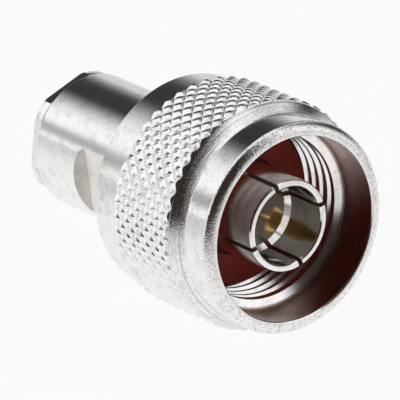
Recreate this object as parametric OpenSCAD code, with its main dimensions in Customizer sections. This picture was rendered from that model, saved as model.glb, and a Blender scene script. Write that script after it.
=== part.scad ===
// Coaxial cable plug with a knurled coupling nut, 50 ohm, screw-on, clamp-on rear entry.
// It stands on its clamp nut: +Z runs along the axis towards the mating face, and the
// origin is the centre of the rear end face. Millimetres throughout.

/* [Overall] */
// Length from the clamp nut's end face to the mouth of the coupling nut
plug_len = 31.2; // [29:0.1:36]
// Sides used to draw a full circle
facets = 96; // [48:8:160]

/* [Coupling nut] */
// Radius over the tips of the knurl
knurl_tip_r = 10.4; // [10:0.1:12]
// Height of one knurl pyramid
knurl_depth = 0.2; // [0.12:0.02:0.4]
// Pyramids in one ring around the nut
knurl_count = 45; // [30:1:60]
// Pyramid half-rows along the nut
knurl_half_rows = 11; // [7:1:15]
// Axial length of the knurled band
knurl_len = 7.7; // [5:0.1:9]
// Turn of the knurl about the axis, in degrees
knurl_turn = 6; // [0:0.5:8]
// Radius of the plain collar behind the knurl
collar_r = 9.75; // [9.3:0.05:9.9]
// Length of the plain collar behind the knurl
collar_len = 3.9; // [2.5:0.1:5]
// Radius of the plain rim at the mouth
rim_r = 9.42; // [9:0.02:9.7]
// Length of the plain rim at the mouth
rim_len = 3.15; // [2:0.05:4]
// Length of the cone between the knurl and the rim
nose_cone_len = 1.33; // [0.8:0.01:2]
// Rounding of the rim's outer front edge
lip_round = 0.62; // [0.2:0.02:0.8]
// Chamfer on the nut's rear edge
nut_rear_chamfer = 0.35; // [0.1:0.05:0.8]
// Radius of the smooth counterbore at the mouth
counterbore_r = 8.25; // [8.1:0.05:8.6]
// Depth of the smooth counterbore
counterbore_depth = 3.95; // [2:0.05:5]
// Radius of the plain lead-in between counterbore and thread
lead_in_r = 8.05; // [7.8:0.05:8.05]
// Length of the plain lead-in
lead_in_len = 0.3; // [0.3:0.1:1.5]
// Radius of the coupling thread's crests (5/8-24 UNEF, internal)
thread_minor_r = 7.42; // [7.3:0.02:7.6]
// Radius of the thread relief in front of the nut's web
relief_r = 8.1; // [7.9:0.05:8.4]
// Axial length of the thread relief
relief_len = 2.4; // [1.8:0.1:3]

/* [Connector body] */
// Radius of the plain rear barrel
body_r = 6.15; // [5.9:0.05:6.5]
// Radius of the bearing that the coupling nut turns on
bearing_r = 7; // [6.8:0.05:7.2]
// Radius of the front flange
flange_r = 7.25; // [7.1:0.05:7.6]
// Thickness of the front flange
flange_len = 1.9; // [1.2:0.1:2.4]
// Distance from the mouth plane down to the gasket's face
gasket_depth = 8; // [7:0.1:9]
// Distance across the two wrench flats
flat_across = 10.7; // [10.2:0.1:11.4]
// Distance from the rear end of the body to the flats' end wall
flat_start = 5.85; // [4:0.05:8]
// Radius of the fillet between a flat and its end wall
flat_fillet_r = 1.2; // [0.4:0.1:1.6]
// Chamfer on the body's rear edge
body_rear_chamfer = 0.15; // [0.05:0.05:0.4]
// Radius of the rear bore, over the clamp nut's thread
clamp_bore_r = 4.75; // [4.6:0.05:4.9]
// Radius of the chamber around the pin's barrel
chamber_r = 3.65; // [3.4:0.05:4]

/* [Outer contact] */
// Outside radius of the slotted sleeve
sleeve_r = 4.12; // [4:0.02:4.3]
// Bore radius at the front of the sleeve
sleeve_bore_r = 3.5; // [3.4:0.02:3.6]
// Bore radius behind the inner shoulder
sleeve_rear_bore_r = 3.05; // [2.8:0.05:3.3]
// Distance from the mouth plane down to the sleeve's front edge
sleeve_recess = 1; // [0.5:0.05:2]
// Depth of the inner shoulder behind the sleeve's front edge
sleeve_shoulder_depth = 4.2; // [2.5:0.1:4.5]
// Length of a slot
slot_len = 5.7; // [4:0.1:5.8]
// Width of a slot
slot_w = 0.45; // [0.3:0.05:0.7]
// Slots around the sleeve
slot_count = 4; // [3:1:8]
// Turn of the first slot about the axis, in degrees
slot_turn = 11; // [0:1:90]
// Radius of the sleeve's seating flange
seat_flange_r = 5.3; // [5:0.05:5.6]
// Thickness of the seating flange
seat_flange_len = 1.2; // [0.8:0.1:1.6]
// Radius of the pressed-in tail
tail_r = 4.6; // [4.4:0.05:4.8]
// Height of the lip behind the front insulator
tail_lip = 0.45; // [0.3:0.05:0.6]
// Length of the tail behind the seating flange
tail_len = 4.3; // [3.5:0.1:5]

/* [Centre pin] */
// Radius of the contact pin
pin_r = 0.82; // [0.7:0.01:0.9]
// Distance from the mouth plane down to the pin's point
pin_recess = 3.7; // [2.5:0.1:4.5]
// Length of the pointed end
pin_taper_len = 3.4; // [1.5:0.1:4.5]
// Radius left at the point
pin_point_r = 0.1; // [0.05:0.01:0.3]
// Radius of the shank held in the front insulator
pin_shank_r = 1.05; // [0.95:0.05:1.2]
// Radius of the pin's soldering barrel
pin_barrel_r = 1.3; // [1.1:0.05:1.6]
// Length of the soldering barrel
pin_barrel_len = 5; // [4:0.1:6]
// Radius of the hole for the cable's inner wire
wire_hole_r = 0.5; // [0.4:0.05:0.7]
// Depth of that hole
wire_hole_depth = 3.6; // [2.5:0.1:4]

/* [Insulators] */
// Length of the front insulator
front_insulator_len = 3; // [2:0.1:3.5]
// Distance from the body's front face down to the front insulator
front_insulator_depth = 0.5; // [0:0.1:1]
// Length of the rear insulator
rear_insulator_len = 2.2; // [1.6:0.1:2.6]
// Depth of the recess that takes the end of the pin's barrel
rear_insulator_recess = 0.8; // [0.4:0.1:1.2]

/* [Gasket and snap ring] */
// Thickness of the silicone face gasket
gasket_len = 1.2; // [0.8:0.1:1.8]
// Outside radius of the face gasket
gasket_r = 7.2; // [7:0.05:7.3]
// Inside radius of the face gasket
gasket_bore_r = 4.7; // [4.4:0.1:5]
// Thickness of the snap ring
ring_len = 0.8; // [0.5:0.05:1.2]
// Radial width of the snap ring
ring_w = 0.95; // [0.7:0.05:1.1]
// Opening of the snap ring, in degrees
ring_gap = 30; // [15:1:60]
// How far the snap ring reaches into the coupling nut
ring_reach = 0.45; // [0.3:0.05:0.6]
// Distance from the nut's rear face to the snap ring
ring_inset = 1.9; // [1.2:0.1:2.6]

/* [Cable clamp] */
// Length of the clamp nut's head
clamp_head_len = 1.05; // [0.8:0.05:3]
// Flats around the clamp nut's head
clamp_flat_count = 6; // [4:2:8]
// Distance across the clamp nut's flats
clamp_flat_across = 11.4; // [10.6:0.1:12]
// Turn of the clamp nut's flats about the axis, in degrees
clamp_turn = 15; // [0:1:60]
// Length of the clamp nut's threaded stem
clamp_stem_len = 3.2; // [2.5:0.1:4]
// Radius of the cable entry
cable_entry_r = 2.8; // [2.5:0.05:3.2]
// Thickness of the clamp washer
washer_len = 0.7; // [0.5:0.05:1]
// Bore radius of the cable gasket
cable_gasket_bore_r = 2.55; // [2.3:0.05:2.8]
// Thickness of the braid clamp's flange
braid_flange_len = 0.9; // [0.6:0.05:1.2]
// Length of the braid clamp's cone
braid_cone_len = 1.5; // [1:0.1:2]
// Bore radius of the braid clamp
braid_bore_r = 1.75; // [1.5:0.05:2]
// Wall of the braid clamp at the end of its cone
braid_cone_wall = 0.5; // [0.3:0.05:0.7]
// Width of the braid clamp's face around the cone
braid_face_w = 0.7; // [0.4:0.05:0.9]

/* [Fits] */
// Radial running clearance of the coupling nut on its bearing
run_gap = 0.06; // [0.02:0.01:0.1]
// Axial play of the coupling nut
nut_play = 0.15; // [0.1:0.01:0.3]
// Radial gap around parts that are pushed home and stay
seat_gap = 0.03; // [0.01:0.01:0.05]
// Radial gap around the loose clamp parts and the stem's thread
slip_gap = 0.08; // [0.05:0.01:0.12]
// Radial room beside the snap ring at the foot of each groove
groove_gap = 0.15; // [0.1:0.01:0.2]
// Space between the braid clamp and the rear insulator, where the braid is folded back
braid_room = 1.6; // [1:0.1:2.5]
// How far the braid clamp's cone reaches into the cable gasket
cone_bite = 0.35; // [0.2:0.05:0.6]
// Bevel on small turned edges
edge_bevel = 0.12; // [0.05:0.01:0.2]
// Bevel on the edges of the nut's counterbore
bore_bevel = 0.1; // [0.05:0.01:0.2]

/* [Hidden] */
$fn = facets;
eps = 0.01;

// Axial stations of the coupling nut, counted from its mouth
rim_base = plug_len - rim_len;
knurl_top = rim_base - nose_cone_len;
knurl_base = knurl_top - knurl_len;
nut_base = knurl_base - collar_len;
counterbore_base = plug_len - counterbore_depth;
thread_top = counterbore_base - lead_in_len;
nut_bore_r = bearing_r + run_gap;

// Axial stations of the body
body_base = clamp_head_len;
gasket_top = plug_len - gasket_depth;
body_top = gasket_top - gasket_len;
flange_base = body_top - flange_len;
web_top = flange_base - nut_play;
thread_base = web_top + relief_len;
flat_base = body_base + flat_start;
bearing_base = nut_base + edge_bevel;

// Knurl: root radius, and the slope of the cone that trims its front end
knurl_root_r = knurl_tip_r - knurl_depth;
knurl_mid_r = (knurl_tip_r + knurl_root_r) / 2;
nose_slope = nose_cone_len / (knurl_mid_r - rim_r);
blank_drop = 0.09; // the turned blank lies this far under the knurl's roots
ring_wall = 0.35; // the knurled ring reaches this far into the blank
ring_lap = 0.2; // and this far along it, past the collar
core_r = knurl_root_r - blank_drop;
function nose_z(r) = rim_base - (r - rim_r) * nose_slope;

// Snap ring
ring_base = nut_base + ring_inset;
ring_out_r = bearing_r + ring_reach;
ring_in_r = ring_out_r - ring_w;
groove_floor_r = ring_in_r - groove_gap;
groove_top_r = ring_out_r + groove_gap;
groove_rear = ring_base - nut_play / 2;
groove_front = ring_base + ring_len + nut_play / 2;

// Inner pieces, from the front backwards
sleeve_top = plug_len - sleeve_recess;
seat_base = body_top - seat_flange_len;
tail_base = seat_base - tail_len;
insulator_top = body_top - front_insulator_depth;
insulator_base = insulator_top - front_insulator_len;
barrel_base = insulator_base - pin_barrel_len;
pin_tip = plug_len - pin_recess;
rear_insulator_top = barrel_base + rear_insulator_recess;
rear_insulator_base = rear_insulator_top - rear_insulator_len;

// Cable clamp: the nut and washer from the rear, the braid clamp from the front,
// and the cable gasket filling what is left between them
stem_top = body_base + clamp_stem_len;
washer_top = stem_top + washer_len;
clamp_bore_top = rear_insulator_base - braid_room;
braid_flange_base = clamp_bore_top - braid_flange_len;
braid_cone_base = braid_flange_base - braid_cone_len;
cable_gasket_top = braid_cone_base + cone_bite;
clamp_part_r = clamp_bore_r - slip_gap;
braid_cone_top_r = clamp_part_r - braid_face_w;
braid_cone_end_r = braid_bore_r + braid_cone_wall;

// ---- Helpers ----

// Turned part: a closed half-section swept about the axis
module turned(section) {
    rotate_extrude() polygon(section);
}

// Quarter-circle of points from angle a0 to a1 about (r, z)
function arc(r, z, radius, a0, a1, steps = 8) =
    [for (i = [0:steps]) let (a = a0 + (a1 - a0) * i / steps)
        [r + radius * cos(a), z + radius * sin(a)]];

// ---- Coupling nut ----

// Ring of staggered pyramids. Grooves cross at the low points of a grid whose
// corners alternate between tip and root; the last row lies on the nose cone.
module knurl_ring() {
    columns = 2 * knurl_count;
    rows = knurl_half_rows;
    row_step = knurl_len / rows;
    inner_r = core_r - ring_wall;
    function grid_r(c, r) = (c + r) % 2 == 0 ? knurl_tip_r : knurl_root_r;
    function grid_z(c, r) = r == rows ? nose_z(grid_r(c, r)) : knurl_base + r * row_step;
    function ring_point(c, radius, z) =
        let (a = 360 * c / columns) [radius * cos(a), radius * sin(a), z];
    function at(c, r) = r * columns + c % columns;
    rear_ring = (rows + 1) * columns;
    front_ring = rear_ring + columns;
    points = concat(
        [for (r = [0:rows]) for (c = [0:columns - 1]) ring_point(c, grid_r(c, r), grid_z(c, r))],
        [for (c = [0:columns - 1]) ring_point(c, inner_r, knurl_base)],
        [for (c = [0:columns - 1]) ring_point(c, inner_r, nose_z(knurl_root_r) + ring_lap)]);
    // Each cell folds along the groove that joins its two low corners
    skin = [for (r = [0:rows - 1]) for (c = [0:columns - 1])
        let (sw = at(c, r), se = at(c + 1, r), nw = at(c, r + 1), ne = at(c + 1, r + 1))
        each (c + r) % 2 == 0 ? [[sw, nw, se], [ne, se, nw]] : [[sw, nw, ne], [sw, ne, se]]];
    rear = [for (c = [0:columns - 1])
        let (d = (c + 1) % columns)
        each [[at(c, 0), at(d, 0), rear_ring + d], [at(c, 0), rear_ring + d, rear_ring + c]]];
    front = [for (c = [0:columns - 1])
        let (d = (c + 1) % columns)
        each [[at(c, rows), front_ring + d, at(d, rows)],
              [at(c, rows), front_ring + c, front_ring + d]]];
    bore = [for (c = [0:columns - 1])
        let (d = (c + 1) % columns)
        each [[rear_ring + c, rear_ring + d, front_ring + d],
              [rear_ring + c, front_ring + d, front_ring + c]]];
    polyhedron(points, concat(skin, rear, front, bore));
}

module coupling_nut() {
    color("gainsboro") union() {
        turned(concat(
            [[nut_bore_r + edge_bevel, nut_base],
             [collar_r - nut_rear_chamfer, nut_base],
             [collar_r, nut_base + nut_rear_chamfer],
             [collar_r, knurl_base + ring_lap],
             [core_r, knurl_base + ring_lap],
             [core_r, nose_z(core_r)],
             [rim_r, rim_base]],
            arc(rim_r - lip_round, plug_len - lip_round, lip_round, 0, 90),
            [[counterbore_r + bore_bevel, plug_len],
             [counterbore_r, plug_len - bore_bevel],
             [counterbore_r, counterbore_base],
             [lead_in_r, counterbore_base - bore_bevel],
             [lead_in_r, thread_top],
             [thread_minor_r, thread_top - (lead_in_r - thread_minor_r)],
             [thread_minor_r, thread_base],
             [relief_r, thread_base - (relief_r - thread_minor_r) / 2],
             [relief_r, web_top],
             [nut_bore_r, web_top],
             [nut_bore_r, groove_front],
             [groove_top_r, groove_front],
             [groove_top_r, groove_rear],
             [nut_bore_r, groove_rear],
             [nut_bore_r, nut_base + edge_bevel]]));
        rotate(knurl_turn) knurl_ring();
    }
}

// ---- Connector body ----

// Cutter for one wrench flat: the flat, and the fillet up to its end wall
module flat_cutter() {
    flat_y = flat_across / 2;
    reach = body_r + 1;
    translate([-reach, 0, 0]) rotate([90, 0, 90]) linear_extrude(2 * reach) difference() {
        translate([flat_y, flat_base]) square([reach, bearing_base - flat_base]);
        difference() {
            translate([flat_y - eps, flat_base - eps])
                square([flat_fillet_r + eps, flat_fillet_r + eps]);
            translate([flat_y + flat_fillet_r, flat_base + flat_fillet_r]) circle(flat_fillet_r);
        }
    }
}

module connector_body() {
    tail_bore_r = tail_r + seat_gap;
    seat_bore_r = seat_flange_r + seat_gap;
    color("gainsboro") difference() {
        turned([
            [clamp_bore_r + edge_bevel, body_base],
            [body_r - body_rear_chamfer, body_base],
            [body_r, body_base + body_rear_chamfer],
            [body_r, bearing_base],
            [bearing_r - edge_bevel, bearing_base],
            [bearing_r, bearing_base + edge_bevel],
            [bearing_r, ring_base],
            [groove_floor_r, ring_base],
            [groove_floor_r, groove_front],
            [bearing_r, groove_front],
            [bearing_r, flange_base],
            [flange_r, flange_base],
            [flange_r, body_top],
            [seat_bore_r, body_top],
            [seat_bore_r, seat_base],
            [tail_bore_r, seat_base],
            [tail_bore_r, tail_base],
            [chamber_r, tail_base],
            [chamber_r, clamp_bore_top],
            [clamp_bore_r, clamp_bore_top],
            [clamp_bore_r, body_base + edge_bevel]]);
        flat_cutter();
        mirror([0, 1, 0]) flat_cutter();
    }
}

// ---- Outer contact ----

module outer_contact() {
    shoulder_z = sleeve_top - sleeve_shoulder_depth;
    shoulder_w = sleeve_bore_r - sleeve_rear_bore_r;
    color("lightgray") difference() {
        turned([
            [sleeve_bore_r + edge_bevel, sleeve_top],
            [sleeve_r - edge_bevel, sleeve_top],
            [sleeve_r, sleeve_top - edge_bevel],
            [sleeve_r, body_top],
            [seat_flange_r, body_top],
            [seat_flange_r, seat_base],
            [tail_r, seat_base],
            [tail_r, tail_base],
            [sleeve_rear_bore_r - tail_lip, tail_base],
            [sleeve_rear_bore_r - tail_lip, insulator_base],
            [sleeve_rear_bore_r, insulator_base],
            [sleeve_rear_bore_r, shoulder_z - shoulder_w],
            [sleeve_bore_r, shoulder_z],
            [sleeve_bore_r, sleeve_top - edge_bevel]]);
        for (i = [0:slot_count - 1])
            rotate(slot_turn + 360 * i / slot_count)
                translate([0, -slot_w / 2, sleeve_top - slot_len])
                    cube([sleeve_r + 1, slot_w, slot_len + 1]);
    }
}

// ---- Centre pin ----

module center_pin() {
    color("goldenrod") turned([
        [0, pin_tip],
        [pin_point_r, pin_tip - pin_point_r / 2],
        [pin_r, pin_tip - pin_taper_len],
        [pin_r, insulator_top],
        [pin_shank_r, insulator_top],
        [pin_shank_r, insulator_base],
        [pin_barrel_r, insulator_base],
        [pin_barrel_r, barrel_base + edge_bevel],
        [pin_barrel_r - edge_bevel, barrel_base],
        [wire_hole_r, barrel_base],
        [wire_hole_r, barrel_base + wire_hole_depth],
        [0, barrel_base + wire_hole_depth + wire_hole_r / 2]]);
}

// ---- Insulators ----

module front_insulator() {
    color("ivory") turned([
        [pin_shank_r + seat_gap, insulator_base],
        [sleeve_rear_bore_r - seat_gap, insulator_base],
        [sleeve_rear_bore_r - seat_gap, insulator_top],
        [pin_shank_r + seat_gap, insulator_top]]);
}

module rear_insulator() {
    out_r = chamber_r - seat_gap;
    color("ivory") turned([
        [wire_hole_r + seat_gap, rear_insulator_base],
        [out_r, rear_insulator_base],
        [out_r, rear_insulator_top],
        [pin_barrel_r + seat_gap, rear_insulator_top],
        [pin_barrel_r + seat_gap, barrel_base],
        [wire_hole_r + seat_gap, barrel_base]]);
}

// ---- Gasket and snap ring ----

module face_gasket() {
    color("firebrick") turned([
        [gasket_bore_r, body_top],
        [gasket_r, body_top],
        [gasket_r, gasket_top - edge_bevel],
        [gasket_r - edge_bevel, gasket_top],
        [gasket_bore_r + edge_bevel, gasket_top],
        [gasket_bore_r, gasket_top - edge_bevel]]);
}

module snap_ring() {
    color("peru") rotate(ring_gap / 2) rotate_extrude(angle = 360 - ring_gap)
        translate([ring_in_r, ring_base]) square([ring_w, ring_len]);
}

// ---- Cable clamp ----

module braid_clamp() {
    color("silver") turned([
        [braid_bore_r, braid_cone_base],
        [braid_cone_end_r, braid_cone_base],
        [braid_cone_top_r, braid_flange_base],
        [clamp_part_r, braid_flange_base],
        [clamp_part_r, clamp_bore_top],
        [braid_bore_r, clamp_bore_top]]);
}

module cable_gasket() {
    // The front face is dished to take the braid clamp's cone
    cone_slope = (braid_cone_top_r - braid_cone_end_r) / braid_cone_len;
    dish_depth = cable_gasket_top - braid_cone_base;
    color("dimgray") turned([
        [cable_gasket_bore_r, washer_top],
        [clamp_part_r, washer_top],
        [clamp_part_r, cable_gasket_top],
        [braid_cone_end_r + dish_depth * cone_slope + seat_gap, cable_gasket_top],
        [cable_gasket_bore_r, braid_cone_base
            + (cable_gasket_bore_r - braid_cone_end_r - seat_gap) / cone_slope]]);
}

module clamp_washer() {
    color("silver") turned([
        [cable_entry_r, stem_top],
        [clamp_part_r, stem_top],
        [clamp_part_r, washer_top],
        [cable_entry_r, washer_top]]);
}

module clamp_nut() {
    head_r = body_r;
    color("gainsboro") difference() {
        turned([
            [cable_entry_r + 2 * edge_bevel, 0],
            [head_r - edge_bevel, 0],
            [head_r, edge_bevel],
            [head_r, clamp_head_len],
            [clamp_part_r, clamp_head_len],
            [clamp_part_r, stem_top - edge_bevel],
            [clamp_part_r - edge_bevel, stem_top],
            [cable_entry_r, stem_top],
            [cable_entry_r, 2 * edge_bevel]]);
        for (i = [0:clamp_flat_count - 1])
            rotate(clamp_turn + 360 * i / clamp_flat_count)
                translate([clamp_flat_across / 2, -head_r, -1])
                    cube([head_r, 2 * head_r, clamp_head_len + 1]);
    }
}

coupling_nut();
connector_body();
outer_contact();
center_pin();
front_insulator();
rear_insulator();
face_gasket();
snap_ring();
braid_clamp();
cable_gasket();
clamp_washer();
clamp_nut();
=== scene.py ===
from math import cos, hypot, pi, radians, sin, tan

import bmesh
import bpy
from mathutils import Matrix, Vector


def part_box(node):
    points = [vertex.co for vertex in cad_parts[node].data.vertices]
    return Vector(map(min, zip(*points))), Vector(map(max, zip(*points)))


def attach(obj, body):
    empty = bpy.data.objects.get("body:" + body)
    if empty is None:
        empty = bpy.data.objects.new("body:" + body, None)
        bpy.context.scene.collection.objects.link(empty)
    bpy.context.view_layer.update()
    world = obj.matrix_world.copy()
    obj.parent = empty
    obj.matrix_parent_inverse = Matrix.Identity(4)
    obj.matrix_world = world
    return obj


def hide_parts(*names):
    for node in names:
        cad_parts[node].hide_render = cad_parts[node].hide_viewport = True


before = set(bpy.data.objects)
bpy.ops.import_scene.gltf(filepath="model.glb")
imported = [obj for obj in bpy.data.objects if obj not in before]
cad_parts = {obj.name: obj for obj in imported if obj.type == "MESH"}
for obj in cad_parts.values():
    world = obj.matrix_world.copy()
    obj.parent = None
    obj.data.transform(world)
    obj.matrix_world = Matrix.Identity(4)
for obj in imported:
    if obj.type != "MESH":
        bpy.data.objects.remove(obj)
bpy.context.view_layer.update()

mm = 0.001
fullTurn = 2 * pi
nutRearZ, mouthZ = (corner.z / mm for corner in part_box("coupling_nut"))
bodyRearZ, bodyTopZ = (corner.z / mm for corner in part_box("connector_body"))
sleeveRearZ, sleeveTopZ = (corner.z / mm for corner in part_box("outer_contact"))
pinRearZ, pinTipZ = (corner.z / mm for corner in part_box("center_pin"))
gasketRearZ, gasketTopZ = (corner.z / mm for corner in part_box("face_gasket"))
print("frame loaded: mouth at", round(mouthZ, 2), "mm")


# Modelling helpers. Outlines and sizes are in millimetres.

def newObject(name, bm):
    mesh = bpy.data.meshes.new(name)
    bm.to_mesh(mesh)
    bm.free()
    obj = bpy.data.objects.new(name, mesh)
    bpy.context.scene.collection.objects.link(obj)
    return obj


def lathe(outline, steps=96):
    # Turns a closed outline of (radius, height) points into a solid
    bm = bmesh.new()
    verts = [bm.verts.new((r * mm, 0, z * mm)) for r, z in outline]
    edges = [bm.edges.new(pair) for pair in zip(verts, verts[1:] + verts[:1])]
    bmesh.ops.spin(bm, geom=verts + edges, cent=(0, 0, 0), axis=(0, 0, 1), angle=fullTurn,
                   steps=steps, use_merge=True)
    bmesh.ops.remove_doubles(bm, verts=bm.verts, dist=1e-7)
    loose = [e for e in bm.edges if not e.link_faces]
    bmesh.ops.delete(bm, geom=loose, context="EDGES")
    bmesh.ops.recalc_face_normals(bm, faces=bm.faces)
    return bm


def arc(r, z, radius, first, last, steps=6):
    # Outline points of part of a circle, from one angle to another in degrees
    angles = [radians(first + (last - first) * i / steps) for i in range(steps + 1)]
    return [(r + radius * cos(a), z + radius * sin(a)) for a in angles]


def bevelEdges(bm, offset, minAngle, segments, where=None):
    # Rounds every edge sharper than minAngle that the test lets through
    bm.normal_update()
    picked = []
    for e in bm.edges:
        middle = (e.verts[0].co + e.verts[1].co) / 2 / mm
        if e.calc_face_angle(0) > radians(minAngle) and (where is None or where(middle)):
            picked.append(e)
    bmesh.ops.bevel(bm, geom=picked, offset=offset * mm, offset_type="OFFSET", affect="EDGES",
                    segments=segments, profile=0.5, clamp_overlap=True, material=-1)
    return bm


def block(low, high):
    # A box between two corners
    bm = bmesh.new()
    bmesh.ops.create_cube(bm, size=1)
    low, high = Vector(low), Vector(high)
    bmesh.ops.scale(bm, vec=(high - low) * mm, verts=bm.verts)
    bmesh.ops.translate(bm, vec=(high + low) / 2 * mm, verts=bm.verts)
    return bm


def turnAbout(bm, angle):
    bmesh.ops.rotate(bm, cent=(0, 0, 0), matrix=Matrix.Rotation(radians(angle), 3, "Z"),
                     verts=bm.verts)
    return bm


def applyModifiers(obj):
    # Keeps the mesh that the modifiers make, and leaves none behind
    bpy.context.view_layer.update()
    graph = bpy.context.evaluated_depsgraph_get()
    done = bpy.data.meshes.new_from_object(obj.evaluated_get(graph))
    obj.modifiers.clear()
    obj.data = done


def carve(obj, cutters):
    # Cuts each solid in turn out of obj
    for bm in cutters:
        tool = newObject("cutter", bm)
        mod = obj.modifiers.new("cut", "BOOLEAN")
        mod.operation, mod.solver, mod.object = "DIFFERENCE", "EXACT", tool
        applyModifiers(obj)
        bpy.data.objects.remove(tool)
    return obj


def shade(obj, sharpAngle=28):
    # Drops specks left by the cuts, then smooths all but the real edges
    bm = bmesh.new()
    bm.from_mesh(obj.data)
    bmesh.ops.remove_doubles(bm, verts=bm.verts, dist=3e-7)
    bmesh.ops.dissolve_degenerate(bm, edges=bm.edges, dist=1e-7)
    for f in bm.faces:
        f.smooth = True
    for e in bm.edges:
        e.smooth = e.calc_face_angle(0) < radians(sharpAngle)
    bm.to_mesh(obj.data)
    bm.free()


def evenNormals(obj):
    # Lets the larger faces decide the shading, so small bevels leave long faces true
    obj.modifiers.new("even", "WEIGHTED_NORMAL").keep_sharp = True
    applyModifiers(obj)


def dress(obj, body, replaced, materials, zone=None):
    # zone names a face's finish from its middle's radius and height and its normal. The shading
    # breaks where two finishes meet.
    obj.data.materials.clear()
    for material in materials.values():
        obj.data.materials.append(material)
    names = list(materials)
    for poly in obj.data.polygons:
        c = poly.center / mm
        finish = zone(hypot(c.x, c.y), c.z, poly.normal) if zone else names[0]
        poly.material_index = names.index(finish)
    seams = {}
    for poly in obj.data.polygons:
        for key in poly.edge_keys:
            seams.setdefault(key, set()).add(poly.material_index)
    for edge in obj.data.edges:
        if len(seams[edge.key]) > 1:
            edge.use_edge_sharp = True
    evenNormals(obj)
    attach(obj, body)
    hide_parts(*replaced)
    print("made", obj.name, "with", len(obj.data.polygons), "faces")


# Shader helpers.

class Wire:
    # An output socket that can be used in plain sums
    def __init__(self, tree, socket):
        self.tree, self.socket = tree, socket

    def math(self, operation, *others):
        made = self.tree.nodes.new("ShaderNodeMath")
        made.operation = operation
        for socket, value in zip(made.inputs, (self, *others)):
            plug(self.tree, socket, value)
        return Wire(self.tree, made.outputs[0])

    def __add__(self, other): return self.math("ADD", other)
    def __sub__(self, other): return self.math("SUBTRACT", other)
    def __rsub__(self, other): return (self * -1) + other
    def __mul__(self, other): return self.math("MULTIPLY", other)


def plug(tree, socket, value):
    if isinstance(value, Wire):
        tree.links.new(value.socket, socket)
    elif socket.type == "RGBA" and len(value) == 3:
        socket.default_value = (*value, 1)
    else:
        socket.default_value = value


class Finish:
    # A material, or the world, while its nodes are being made
    def __init__(self, name, owner=None):
        self.owner = owner or bpy.data.materials.new(name)
        self.owner.use_nodes = True
        self.tree = self.owner.node_tree
        self.tree.nodes.clear()

    def node(self, kind, settings, inputs, out=0):
        # kind of node, its settings, then its sockets by name or number
        made = self.tree.nodes.new("ShaderNode" + kind)
        for key, value in settings.items():
            setattr(made, key, value)
        for key, value in inputs.items():
            plug(self.tree, made.inputs[key], value)
        return Wire(self.tree, made.outputs[out])

    def spot(self):
        return self.node("TexCoord", {}, {}, "Object")

    def ray(self, kind):
        return self.node("LightPath", {}, {}, kind)

    def axes(self, vector):
        return [self.node("SeparateXYZ", {}, {0: vector}, out) for out in range(3)]

    def noise(self, vector, scale, detail, roughness):
        return self.node("TexNoise", {}, {"Vector": vector, "Scale": scale, "Detail": detail,
                                          "Roughness": roughness})

    def rise(self, value, low, high):
        # 0 below low, 1 above high, smooth between
        return self.node("MapRange", {"interpolation_type": "SMOOTHSTEP"},
                         {"Value": value, "From Min": low, "From Max": high})

    def mix(self, share, a, b):
        return self.node("Mix", {"data_type": "RGBA"}, {0: share, 6: a, 7: b}, 2)

    def bump(self, height, distance):
        return self.node("Bump", {}, {"Height": height, "Distance": distance * mm,
                                      "Strength": 1.0})

    def surface(self, shader, kind="Material"):
        output = self.tree.nodes.new("ShaderNodeOutput" + kind)
        self.tree.links.new(shader.socket, output.inputs["Surface"])
        return self.owner

    def done(self, **inputs):
        inputs = {key.replace("_", " "): value for key, value in inputs.items()}
        return self.surface(self.node("BsdfPrincipled", {}, inputs))


# Finishes.

def plating(name, colour=(0.95, 0.945, 0.93), dark=(0.72, 0.71, 0.69), roughness=0.2,
            lines=0.0, lineScale=60, grain=0.0, grainScale=60, streaks=0.0, nicks=0.0):
    # Silver-bright plating: lines are the turning marks round the axis, grain is a fine speckle,
    # streaks are dark lines along the turning, and nicks are dark pits
    streakTone, pitTone = (0.10, 0.095, 0.09), (0.08, 0.075, 0.07)
    spread, specks = 0.06, 0.45
    f = Finish(name)
    x, y, z = f.axes(f.spot())
    radius = (x * x + y * y).math("SQRT")
    fine, coarse, coarser = lineScale * 100, 40, 25
    along = f.node("CombineXYZ", {}, {0: x * coarse, 1: y * coarse, 2: z * fine})
    across = f.node("CombineXYZ", {}, {0: radius * fine, 1: x * coarser, 2: y * coarser})
    lineNoise = (f.noise(along, 1.0, 3.0, 0.6) + f.noise(across, 1.0, 3.0, 0.6)) * 0.5
    grainNoise = f.noise(f.spot(), grainScale * 100, 3.0, 0.6)
    stain = f.noise(f.spot(), 900.0, 6.0, 0.7)
    height = lineNoise * lines + grainNoise * grain
    worn = f.mix(f.rise(stain, specks, specks + 0.3), colour, dark)
    if streaks:
        worn = f.mix(f.rise(lineNoise, 0.5, 0.6) * streaks, worn, streakTone)
    if nicks:
        pits = f.noise(f.spot(), 5200.0, 2.0, 0.6)
        worn = f.mix(f.rise(pits, 0.52, 0.62) * nicks, worn, pitTone)
    return f.done(Base_Color=worn, Metallic=1.0,
                  Roughness=(stain - 0.5) * spread * 2 + roughness,
                  Normal=f.bump(height, 0.02))


def plain(name, colour, shadow, roughness):
    # Plastic or rubber with a soft mottle
    f = Finish(name)
    mottle = f.noise(f.spot(), 600.0, 4.0, 0.6)
    return f.done(Base_Color=f.mix(f.rise(mottle, 0.3, 0.75), colour, shadow),
                  Roughness=(mottle - 0.5) * 0.2 + roughness, Normal=f.bump(mottle, 0.01))


# Coupling nut.

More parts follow.
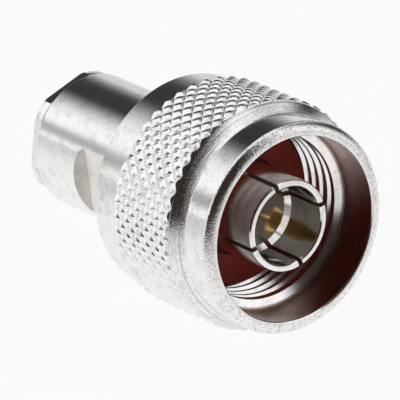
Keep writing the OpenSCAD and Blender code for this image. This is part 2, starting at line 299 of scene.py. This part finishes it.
nut = {
    "knurlTip": 10.4, "knurlCount": 45, "halfRows": 11, "knurlLength": 7.7, "knurlTurn": 6.0,
    "facetRise": 0.32, "ridgeWear": 0.1, "tipWear": 0.5, "knurlSteps": 4, "knurlEndSlope": 0.45,
    "collar": 9.75, "rearChamfer": 0.35,
    "rim": 9.42, "rimLength": 3.15, "coneLength": 1.33, "coneFoot": 10.14, "coneStep": 0.1,
    "lipRound": 0.64, "lipEdge": 0.45, "crown": 1.125, "crownIn": 0.9275, "crownDown": 1.1195,
    "lipInner": 8.6, "mouthFlat": 0.28, "mouthEdge": 0.1, "mouthEase": 0.02,
    "counterbore": 8.25, "counterboreDepth": 3.95, "leadIn": 8.1, "leadInLength": 0.25,
    "leadInEase": 0.02, "leadInEdge": 0.08,
    "threadCrest": 7.42, "threadRoot": 7.95, "pitch": 25.4 / 24, "threadTurn": 200.0,
    "relief": 8.1, "webTop": 19.95, "reliefLength": 2.4, "reliefSlope": 0.34,
    "bore": 7.06, "grooveRadius": 7.6, "grooveRear": 16.945, "grooveFront": 17.895,
}
nut["rimRear"] = mouthZ - nut["rimLength"]
nut["knurlFront"] = nut["rimRear"] - nut["coneLength"]
nut["knurlRear"] = nut["knurlFront"] - nut["knurlLength"]
nut["counterboreFloor"] = mouthZ - nut["counterboreDepth"]
nut["threadFront"] = nut["counterboreFloor"] - nut["leadInLength"]
nut["threadRear"] = nut["webTop"] + nut["reliefLength"]


def coneHeight(r):
    # Height of the nose cone at a radius
    return nut["rimRear"] - (r - nut["rim"]) * nut["coneLength"] / (nut["coneFoot"] - nut["rim"])


def nutBlank():
    # The turned nut before knurling and threading. The lip is a tight arc at the rim, then a
    # wide one over the crown.
    n, soft = nut, 0.12
    proud, floor = n["knurlTip"] + 0.2, n["counterboreFloor"]
    outline = [
        (n["bore"] + soft, nutRearZ), (n["collar"] - n["rearChamfer"], nutRearZ),
        (n["collar"], nutRearZ + n["rearChamfer"]), (n["collar"], n["knurlRear"]),
        (proud, n["knurlRear"]), (proud, n["knurlFront"] - n["knurlEndSlope"]),
        (n["coneFoot"] + n["coneStep"], n["knurlFront"]), (n["coneFoot"], n["knurlFront"]),
        (n["rim"], n["rimRear"]), (n["rim"], mouthZ - n["lipRound"] - soft / 2),
        *arc(n["rim"] - n["lipEdge"], mouthZ - n["lipRound"], n["lipEdge"], 0, 45, 6),
        *arc(n["rim"] - n["crownIn"], mouthZ - n["crownDown"], n["crown"], 45, 80, 8)[1:],
        (n["counterbore"] + n["mouthFlat"], mouthZ),
        (n["counterbore"] + n["mouthEdge"], mouthZ - n["mouthEase"]),
        (n["counterbore"], mouthZ - n["mouthEdge"]), (n["counterbore"], floor),
        (n["leadIn"], floor - n["leadInEase"]), (n["leadIn"], floor - n["leadInEdge"]),
        (n["threadCrest"], n["threadFront"]), (n["threadCrest"], n["threadRear"]),
        (n["relief"], n["threadRear"] - n["reliefSlope"]), (n["relief"], n["webTop"]),
        (n["bore"], n["webTop"]), (n["bore"], n["grooveFront"]),
        (n["grooveRadius"], n["grooveFront"]), (n["grooveRadius"], n["grooveRear"]),
        (n["bore"], n["grooveRear"]), (n["bore"], nutRearZ + soft)]

    def bevelled(p):
        return n["bore"] + 0.14 < hypot(p.x, p.y) < n["knurlTip"] + 0.1

    return bevelEdges(lathe(outline, 192), 0.05, 25, 2, bevelled)


def knurlRadius(across, along):
    # Height of the knurl at a point of one pyramid, both distances from its tip in half pitches
    wear, crown = nut["ridgeWear"], nut["tipWear"]
    full = hypot(1, wear) - wear
    reach = sum((hypot(d, wear) - wear) / full for d in (across, along))
    fall = reach if reach > crown else (reach * reach / crown + crown) / 2
    return nut["knurlTip"] - (fall - crown / 2) * nut["facetRise"]


def extrude(bm, edges):
    # Extrudes open edges in place, and returns the new verts and edges
    made = bmesh.ops.extrude_edge_only(bm, edges=edges)["geom"]
    verts = [g for g in made if isinstance(g, bmesh.types.BMVert)]
    return verts, [g for g in made if isinstance(g, bmesh.types.BMEdge)]


def knurlCutter():
    # A ring whose inside carries the knurl. Every cell between two tips folds along the groove.
    # It runs past both ends of the knurl.
    fine, spareRows, pastRear, pastFront = nut["knurlSteps"], 3, 0.15, 0.2
    columns = 2 * nut["knurlCount"] * fine
    rows = (nut["halfRows"] + spareRows) * fine
    rowStep = nut["knurlLength"] / nut["halfRows"] / fine
    outside = nut["knurlTip"] + 1.2
    bm = bmesh.new()
    bmesh.ops.create_grid(bm, x_segments=columns, y_segments=rows, size=1)
    place = {v: (round((v.co.x + 1) / 2 * columns), round((v.co.y + 1) / 2 * rows))
             for v in bm.verts}
    for face in list(bm.faces):
        column = min(place[v][0] for v in face.verts)
        row = min(place[v][1] for v in face.verts)
        fold = (column // fine + row // fine) % 2
        low = [v for v in face.verts if (place[v][0] - column + place[v][1] - row) % 2 != fold]
        bmesh.utils.face_split(face, low[0], low[1])
    for v, (column, row) in place.items():
        column, row = column / fine, row / fine
        if (int(column) + int(row)) % 2:
            across, along = 1 - column % 1, row % 1
            if across + along > 1:
                across, along = column % 1, 1 - row % 1
        else:
            across, along = column % 1, row % 1
            if across + along > 1:
                across, along = 1 - across, 1 - along
        r = knurlRadius(across, along)
        angle = fullTurn * column / (2 * nut["knurlCount"]) + radians(nut["knurlTurn"])
        z = nut["knurlRear"] + row * rowStep * fine
        v.co = Vector((r * cos(angle), r * sin(angle), z)) * mm
    bmesh.ops.remove_doubles(bm, verts=bm.verts, dist=1e-7)
    rims = [e for e in bm.edges if e.is_boundary]
    lowRim = [e for e in rims if e.verts[0].co.z / mm < nut["knurlRear"] + 1]
    highRim = [e for e in rims if e.verts[0].co.z / mm >= nut["knurlRear"] + 1]
    for rim, reach in ((lowRim, -pastRear), (highRim, pastFront)):
        verts, edges = extrude(bm, rim)
        for v in verts:
            v.co.z += reach * mm
        verts, _ = extrude(bm, edges)
        for v in verts:
            k = outside * mm / hypot(v.co.x, v.co.y)
            v.co.x, v.co.y = v.co.x * k, v.co.y * k
    rims = [e for e in bm.edges if e.is_boundary]
    bmesh.ops.bridge_loops(bm, edges=rims)
    bmesh.ops.recalc_face_normals(bm, faces=bm.faces)
    return bm


def threadCutter():
    # One V groove swept along the helix of the coupling thread. It starts behind the thread,
    # in the relief, and runs out over the last turn before the lead-in.
    pitch, crest, root = nut["pitch"], nut["threadCrest"], nut["threadRoot"]
    flank, past, extraTurns, rearTurns = tan(radians(30)), 0.15, 1.2, 0.9
    land = pitch / 16
    half = (root - crest) * flank + land
    inner, grow = crest - past, past * flank
    steps, turns = 96, (nut["threadFront"] - nut["threadRear"]) / pitch + extraTurns
    start = nut["threadRear"] - rearTurns * pitch
    bm = bmesh.new()
    corners = [(inner, -half - grow), (root, -land), (root, land), (inner, half + grow)]
    verts = [bm.verts.new((r * mm, 0, (start + z) * mm)) for r, z in corners]
    face = bm.faces.new(verts)
    count = round(steps * turns)
    bmesh.ops.spin(bm, geom=[face], cent=(0, 0, 0), axis=(0, 0, 1),
                   dvec=(0, 0, pitch / steps * mm), angle=fullTurn * count / steps, steps=count)
    depth = root - crest + 0.05
    for v in bm.verts:
        share = min(max((v.co.z / mm - nut["threadFront"]) / pitch + 1.0, 0), 1)
        k = 1 - share * depth * mm / hypot(v.co.x, v.co.y)
        v.co.x, v.co.y = v.co.x * k, v.co.y * k
    bmesh.ops.recalc_face_normals(bm, faces=bm.faces)
    return turnAbout(bm, nut["threadTurn"])


def nutZone(r, z, normal):
    near = 0.02
    if r < nut["leadIn"] + near:
        return "thread" if z > nut["webTop"] else "inside"
    if r < nut["counterbore"] + near:
        return "inside"
    if z > mouthZ - nut["lipRound"] and r > nut["counterbore"] + 0.12:
        return "lip" if r > nut["lipInner"] else "rim"
    if z > nut["rimRear"] + near:
        return "rim"
    onCone = abs(z - coneHeight(r)) < 0.1 and z > nut["knurlFront"] - 1.2
    if onCone and normal.z > 0.3 and r < nut["knurlTip"] + 0.1:
        return "cone"
    return "knurl" if z > nut["knurlRear"] + 0.01 else "collar"


nutPiece = carve(newObject("couplingNut", nutBlank()), [knurlCutter(), threadCutter()])
shade(nutPiece)
nutFinishes = {
    "rim": plating("rimPlating", roughness=0.13, lines=0.04, lineScale=30, grain=0.1, nicks=0.12),
    "cone": plating("conePlating", roughness=0.13, lines=1.6, lineScale=80, grain=0.9,
                    streaks=0.5, nicks=0.25),
    "lip": plating("lipPlating", roughness=0.12, grain=1.6, nicks=0.38),
    "knurl": plating("knurlPlating", roughness=0.14, grain=0.1),
    "collar": plating("collarPlating", roughness=0.15, lines=0.06, grain=0.12, nicks=0.1),
    # The inside of the nut is painted dark reddish brown: painted shade in the bore, tinted by a
    # painted reflection of the red gasket.
    "inside": plating("boreShadeAndGasketReflection", (0.52, 0.38, 0.34), (0.36, 0.23, 0.20), roughness=0.2,
                      lines=0.5, grain=1.2, grainScale=80),
    "thread": plating("threadPlating", roughness=0.16),
}
dress(nutPiece, "coupling_nut", ["coupling_nut"], nutFinishes, nutZone)


# Body.

body = {
    "radius": 6.15, "bearing": 7.0, "bearingRear": 15.24, "flange": 7.25, "flangeRear": 20.1,
    "grooveRadius": 6.35, "grooveRear": 17.02, "grooveFront": 17.895,
    "seatBore": 5.33, "seatRear": 20.8, "tailBore": 4.63, "tailRear": 16.5,
    "chamber": 3.65, "clampBore": 4.75, "clampBoreTop": 10.5,
    "acrossFlats": 10.7, "flatStart": 5.85, "flatFillet": 1.2, "rearChamfer": 0.15,
}


def bodyBlank():
    b, soft = body, 0.12
    return bevelEdges(lathe([
        (b["clampBore"] + soft, bodyRearZ), (b["radius"] - b["rearChamfer"], bodyRearZ),
        (b["radius"], bodyRearZ + b["rearChamfer"]), (b["radius"], b["bearingRear"]),
        (b["bearing"] - soft, b["bearingRear"]), (b["bearing"], b["bearingRear"] + soft),
        (b["bearing"], b["grooveRear"]), (b["grooveRadius"], b["grooveRear"]),
        (b["grooveRadius"], b["grooveFront"]), (b["bearing"], b["grooveFront"]),
        (b["bearing"], b["flangeRear"]), (b["flange"], b["flangeRear"]), (b["flange"], bodyTopZ),
        (b["seatBore"], bodyTopZ), (b["seatBore"], b["seatRear"]),
        (b["tailBore"], b["seatRear"]), (b["tailBore"], b["tailRear"]),
        (b["chamber"], b["tailRear"]), (b["chamber"], b["clampBoreTop"]),
        (b["clampBore"], b["clampBoreTop"]), (b["clampBore"], bodyRearZ + soft)], 144),
        0.03, 30, 2)


def flatCutter(angle):
    # Block for one wrench flat, with its rear inner edge rounded into a fillet
    y, halfWidth, depth = body["acrossFlats"] / 2, 8, 4
    rear = bodyRearZ + body["flatStart"]
    bm = block((-halfWidth, y, rear), (halfWidth, y + depth, body["bearingRear"]))
    corner = [e for e in bm.edges if all(abs(v.co.y / mm - y) < 1e-3 and
                                         abs(v.co.z / mm - rear) < 1e-3 for v in e.verts)]
    bmesh.ops.bevel(bm, geom=corner, offset=body["flatFillet"] * mm, offset_type="OFFSET",
                    affect="EDGES", segments=12, profile=0.5, material=-1)
    return turnAbout(bm, angle)


def bodyZone(r, z, normal):
    # The two flats and the fillets at their rear ends are milled, and the rest is turned. The
    # forward-facing fillets get a darker colour, which is painted shade.
    facesFront, flatRadius = normal.z > 0.05, body["acrossFlats"] / 2
    turned = r > body["radius"] - 0.03 or abs(normal.y) < 0.3 or z > body["bearingRear"]
    fillet = facesFront and z < body["bearingRear"] - 1 and r > flatRadius - 0.1
    if turned and not fillet:
        return "satin"
    return "end" if facesFront else "flat"


bodyPiece = carve(newObject("connectorBody", bodyBlank()), [flatCutter(0), flatCutter(180)])
shade(bodyPiece)
satin = plating("bodyPlating", roughness=0.15, grain=0.12, lines=0.04)
bodyFinishes = {
    "satin": satin,
    "flat": plating("milledPlating", (0.86, 0.84, 0.80), (0.72, 0.69, 0.64), roughness=0.3,
                    grain=0.5),
    # The fillets are painted darker than the flats: painted shade.
    "end": plating("filletShade", (0.60, 0.57, 0.52), (0.44, 0.40, 0.36), roughness=0.35,
                   grain=0.6),
}
dress(bodyPiece, "plug_body", ["connector_body"], bodyFinishes, bodyZone)


# Clamp nut.

clamp = {"headLength": 1.05, "flats": 6, "acrossFlats": 11.4, "turn": 15.0, "stem": 4.67,
         "stemTop": 4.25, "entry": 2.8, "entryChamfer": 0.24, "edge": 0.12}


def clampBlank():
    c, head = clamp, body["radius"]
    return bevelEdges(lathe([
        (c["entry"] + c["entryChamfer"], 0), (head - c["edge"], 0), (head, c["edge"]),
        (head, c["headLength"]), (c["stem"], c["headLength"]),
        (c["stem"], c["stemTop"] - c["edge"]), (c["stem"] - c["edge"], c["stemTop"]),
        (c["entry"], c["stemTop"]), (c["entry"], c["entryChamfer"])], 144), 0.03, 30, 2)


def clampCutter(side):
    # Block outside one flat of the head
    outside, halfWidth, past = 12, 6, 1
    bm = block((clamp["acrossFlats"] / 2, -halfWidth, -past),
               (outside, halfWidth, clamp["headLength"]))
    return turnAbout(bm, clamp["turn"] + 360 / clamp["flats"] * side)


clampPiece = carve(newObject("clampNut", clampBlank()),
                   [clampCutter(side) for side in range(clamp["flats"])])
shade(clampPiece)
dress(clampPiece, "plug_body", ["clamp_nut"], {"satin": satin})


# Outer contact.

sleeve = {
    "radius": 4.12, "bore": 3.5, "rearBore": 3.05, "shoulderDepth": 4.2, "slots": 4,
    "slotWidth": 0.45, "slotLength": 5.7, "slotTurn": 11.0, "flange": 5.3, "flangeLength": 1.2,
    "tail": 4.6, "lip": 0.45, "insulatorRear": 18.5,
}


def sleeveBlank():
    s, soft = sleeve, 0.12
    shoulder = sleeveTopZ - s["shoulderDepth"]
    seat = bodyTopZ - s["flangeLength"]
    return bevelEdges(lathe([
        (s["bore"] + soft, sleeveTopZ), (s["radius"] - soft, sleeveTopZ),
        (s["radius"], sleeveTopZ - soft), (s["radius"], bodyTopZ), (s["flange"], bodyTopZ),
        (s["flange"], seat), (s["tail"], seat), (s["tail"], sleeveRearZ),
        (s["rearBore"] - s["lip"], sleeveRearZ), (s["rearBore"] - s["lip"], s["insulatorRear"]),
        (s["rearBore"], s["insulatorRear"]),
        (s["rearBore"], shoulder - s["bore"] + s["rearBore"]),
        (s["bore"], shoulder), (s["bore"], sleeveTopZ - soft)], 144), 0.03, 30, 2)


def slotCutter(slot):
    # Block for one slot, from near the axis out past the wall
    inside, outside, past = 0.5, 6, 1
    half, floor = sleeve["slotWidth"] / 2, sleeveTopZ - sleeve["slotLength"]
    return turnAbout(block((inside, -half, floor), (outside, half, sleeveTopZ + past)),
                     sleeve["slotTurn"] + 360 / sleeve["slots"] * slot)


# The outer wall and the slot walls are painted darker than the front face and the bore: painted
# shade, with a painted reflection of the red gasket on the outer wall.
def sleeveZone(r, z, normal):
    if normal.z > 0.4 or r < sleeve["bore"] + 0.03:
        return "bright"
    return "wallShade" if r > sleeve["radius"] - 0.06 else "slot"


sleevePiece = carve(newObject("outerContact", sleeveBlank()),
                    [slotCutter(slot) for slot in range(sleeve["slots"])])
shade(sleevePiece)
sleeveFinishes = {
    # The outer wall is painted darker and warmer: painted shade with a painted reflection of the
    # red gasket.
    "wallShade": plating("contactWallShadeAndReflection", (0.84, 0.80, 0.75), (0.60, 0.54, 0.47), roughness=0.18,
                    lines=0.25, lineScale=30),
    # The slot walls are painted dark: painted shade inside the slots.
    "slot": plating("contactSlotShade", (0.34, 0.27, 0.23), (0.24, 0.18, 0.15), roughness=0.3),
    "bright": plating("contactFace", (0.96, 0.95, 0.93), (0.85, 0.82, 0.77), roughness=0.12),
}
dress(sleevePiece, "plug_body", ["outer_contact"], sleeveFinishes, sleeveZone)


# Centre pin.

pin = {
    "radius": 0.82, "taper": 3.4, "point": 0.1, "pointEdge": 0.05, "shank": 1.05, "barrel": 1.3,
    "insulatorRear": 18.5, "insulatorTop": 21.5, "wireHole": 0.5, "wireDepth": 3.6,
    "drillPoint": 0.25,
}


def pinBlank():
    p, soft = pin, 0.12
    return bevelEdges(lathe([
        (0, pinTipZ), (p["point"] * 0.6, pinTipZ - p["pointEdge"] / 10),
        (p["point"], pinTipZ - p["pointEdge"]), (p["radius"], pinTipZ - p["taper"]),
        (p["radius"], p["insulatorTop"]), (p["shank"], p["insulatorTop"]),
        (p["shank"], p["insulatorRear"]), (p["barrel"], p["insulatorRear"]),
        (p["barrel"], pinRearZ + soft), (p["barrel"] - soft, pinRearZ),
        (p["wireHole"], pinRearZ), (p["wireHole"], pinRearZ + p["wireDepth"]),
        (0, pinRearZ + p["wireDepth"] + p["drillPoint"])], 96), 0.02, 30, 1)


pinPiece = newObject("centrePin", pinBlank())
shade(pinPiece)
dress(pinPiece, "plug_body", ["center_pin"],
      {"gold": plating("goldPlating", (1.0, 0.70, 0.32), (0.95, 0.58, 0.22), roughness=0.3)})


# Face gasket.

gasket = {"radius": 7.2, "bore": 4.4, "edge": 0.16}


def gasketBlank():
    outer, inner, edge = gasket["radius"], gasket["bore"], gasket["edge"]
    return lathe([(inner, gasketRearZ), (outer, gasketRearZ),
                  *arc(outer - edge, gasketTopZ - edge, edge, 0, 90, 5),
                  *arc(inner + edge, gasketTopZ - edge, edge, 90, 180, 5)], 128)


gasketPiece = newObject("faceGasket", gasketBlank())
shade(gasketPiece, 40)
dress(gasketPiece, "plug_body", ["face_gasket"],
      {"red": plain("redSilicone", (0.55, 0.055, 0.032), (0.42, 0.040, 0.024), 0.5)})


# CAD nodes that stay as they are, with their finishes.

insulatorTones = ((0.80, 0.79, 0.75), (0.72, 0.71, 0.67))
keptNodes = {
    "front_insulator": plain("frontInsulator", *insulatorTones, 0.45),
    "rear_insulator": plain("rearInsulator", *insulatorTones, 0.45),
    "snap_ring": plating("bronzeRing", (0.75, 0.50, 0.28), (0.6, 0.4, 0.22), roughness=0.3),
    "braid_clamp": plating("braidClampPlating", roughness=0.3, lines=0.2),
    "cable_gasket": plain("blackRubber", (0.02, 0.02, 0.022), (0.035, 0.035, 0.035), 0.6),
    "clamp_washer": plating("washerPlating", roughness=0.32, lines=0.2),
}
for name, material in keptNodes.items():
    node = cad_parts[name]
    node.data.materials.clear()
    node.data.materials.append(material)
print("CAD nodes dressed:", len(keptNodes))


# Camera.

cameraLook = {
    "azimuth": -129.0, "elevation": 49.62, "roll": 113.86, "lens": 450.0, "sensor": 36.0,
    "distance": 425.588,               # in mm, from the mouth's centre back along the view
    "across": 8.1565, "down": 2.5024,  # in mm, from the middle of the picture to that centre
}


def makeCamera(look):
    az, el = radians(look["azimuth"]), radians(look["elevation"])
    back = Vector((cos(az) * cos(el), sin(az) * cos(el), sin(el)))
    level = back.to_track_quat("Z", "Y").to_matrix()
    turn = level @ Matrix.Rotation(radians(look["roll"]), 3, "Z")
    data = bpy.data.cameras.new("camera")
    data.lens, data.sensor_width = look["lens"], look["sensor"]
    data.clip_start, data.clip_end = 0.01, 20
    camera = bpy.data.objects.new("camera", data)
    bpy.context.scene.collection.objects.link(camera)
    right, up = turn.col[0], turn.col[1]
    spot = (Vector((0, 0, mouthZ)) - right * look["across"] + up * look["down"]
            + back * look["distance"])
    camera.matrix_world = Matrix.Translation(spot * mm) @ turn.to_4x4()
    bpy.context.scene.camera = camera
    return turn


cameraTurn = makeCamera(cameraLook)
print("camera placed")


# Studio: table and world.

# mirrored and farMirrored are the table's glow in reflections, near the nut and beyond the patch
studio = {"lean": 10.4, "heading": 179.0, "tableRadius": 400.0, "tableGap": 0.02, "paper": 0.9,
          "glow": 0.92, "mirrored": 0.85, "farMirrored": 0.4, "patch": (15.0, 95.0)}

# Dark flags that the camera doesn't see, only reflections and the light on the object: middle
# heading (0 straight ahead, 90 right), half width and softness of the sides; lower height and
# its softness; upper height and its softness, all in degrees; and tone
flags = {
    "room": (-10, 34, 34, 4, 30, 52, 16, (0.035, 0.035, 0.037)),
    "right": (42, 22, 10, -4, 6, 22, 8, (0.08, 0.08, 0.08)),
    "rightUpper": (63, 17, 8, 2, 8, 58, 10, (0.05, 0.05, 0.05)),
    "cameraSide": (180, 62, 12, -3, 12, 90, 40, (0.035, 0.025, 0.022)),
    "seam": (-73, 14, 6, 4, 6, 13, 6, (0.4, 0.4, 0.4)),
}


def tableUp():
    heading, lean = radians(studio["heading"]), radians(studio["lean"])
    return Vector((cos(heading) * cos(lean), sin(heading) * cos(lean), sin(lean)))


def headingVector(heading):
    # Level direction by compass round the table's upright, 0 being straight ahead of the camera
    up = tableUp()
    ahead = -cameraTurn.col[2]
    ahead = (ahead - up * ahead.dot(up)).normalized()
    right = ahead.cross(up)
    return ahead * cos(radians(heading)) + right * sin(radians(heading))


def makeTable():
    # One-sided, so that a view from underneath sees through it
    up = tableUp()
    heading = radians(studio["heading"])
    touch = Vector((-cos(heading) * nut["knurlTip"], -sin(heading) * nut["knurlTip"],
                    nut["knurlRear"]))
    bm = bmesh.new()
    bmesh.ops.create_circle(bm, cap_ends=True, segments=64, radius=studio["tableRadius"] * mm)
    turn = up.to_track_quat("Z", "X").to_matrix()
    bmesh.ops.rotate(bm, cent=(0, 0, 0), matrix=turn, verts=bm.verts)
    bmesh.ops.translate(bm, vec=(touch - up * studio["tableGap"]) * mm, verts=bm.verts)
    table = newObject("table", bm)
    table.data.materials.append(tableFinish(touch))


def tableFinish(touch):
    f = Finish("tableWhite")
    reach = f.node("VectorMath", {"operation": "DISTANCE"}, {0: f.spot(), 1: touch * mm}, "Value")
    near, far = (length * mm for length in studio["patch"])
    fall = f.rise(reach, near, far) * (studio["mirrored"] - studio["farMirrored"])
    seen = f.ray("Is Camera Ray") * studio["glow"]
    mirrored = f.ray("Is Glossy Ray") + f.ray("Is Transmission Ray")
    seen = seen + mirrored * (studio["mirrored"] - fall)
    paper = f.node("BsdfDiffuse", {}, {"Color": (studio["paper"],) * 3})
    glow = f.node("Emission", {}, {"Color": (1, 1, 1), "Strength": 1.0})
    lit = f.node("MixShader", {}, {0: seen, 1: paper, 2: glow})
    clear = f.node("BsdfTransparent", {}, {})
    behind = f.node("NewGeometry", {}, {}, "Backfacing")
    return f.surface(f.node("MixShader", {}, {0: behind, 1: lit, 2: clear}))


def makeWorld():
    world = bpy.data.worlds.new("studioWorld")
    f = Finish("studioWorld", world)
    spot = f.node("TexCoord", {}, {}, "Generated")

    def along(direction):
        return f.node("VectorMath", {"operation": "DOT_PRODUCT"}, {0: spot, 1: direction}, "Value")

    def over(value, angle, softness):
        return f.rise(value, radians(angle - softness / 2), radians(angle + softness / 2))

    height = along(tableUp()).math("ARCSINE")
    colour = (1.0, 1.0, 1.0)
    for middle, half, sideSoft, low, lowSoft, high, highSoft, tone in flags.values():
        turn = along(headingVector(middle + 90)).math("ARCTAN2", along(headingVector(middle)))
        inside = 1 - over(turn.math("ABSOLUTE"), half, sideSoft)
        inside = inside * over(height, low, lowSoft) * (1 - over(height, high, highSoft))
        colour = f.mix(inside, colour, tone)
    colour = f.mix(f.ray("Is Camera Ray"), colour, (1.0, 1.0, 1.0))
    f.surface(f.node("Background", {}, {"Color": colour, "Strength": 1.0}), "World")
    bpy.context.scene.world = world


makeTable()
makeWorld()
bpy.context.scene.view_settings.view_transform = "Standard"
print("studio ready")
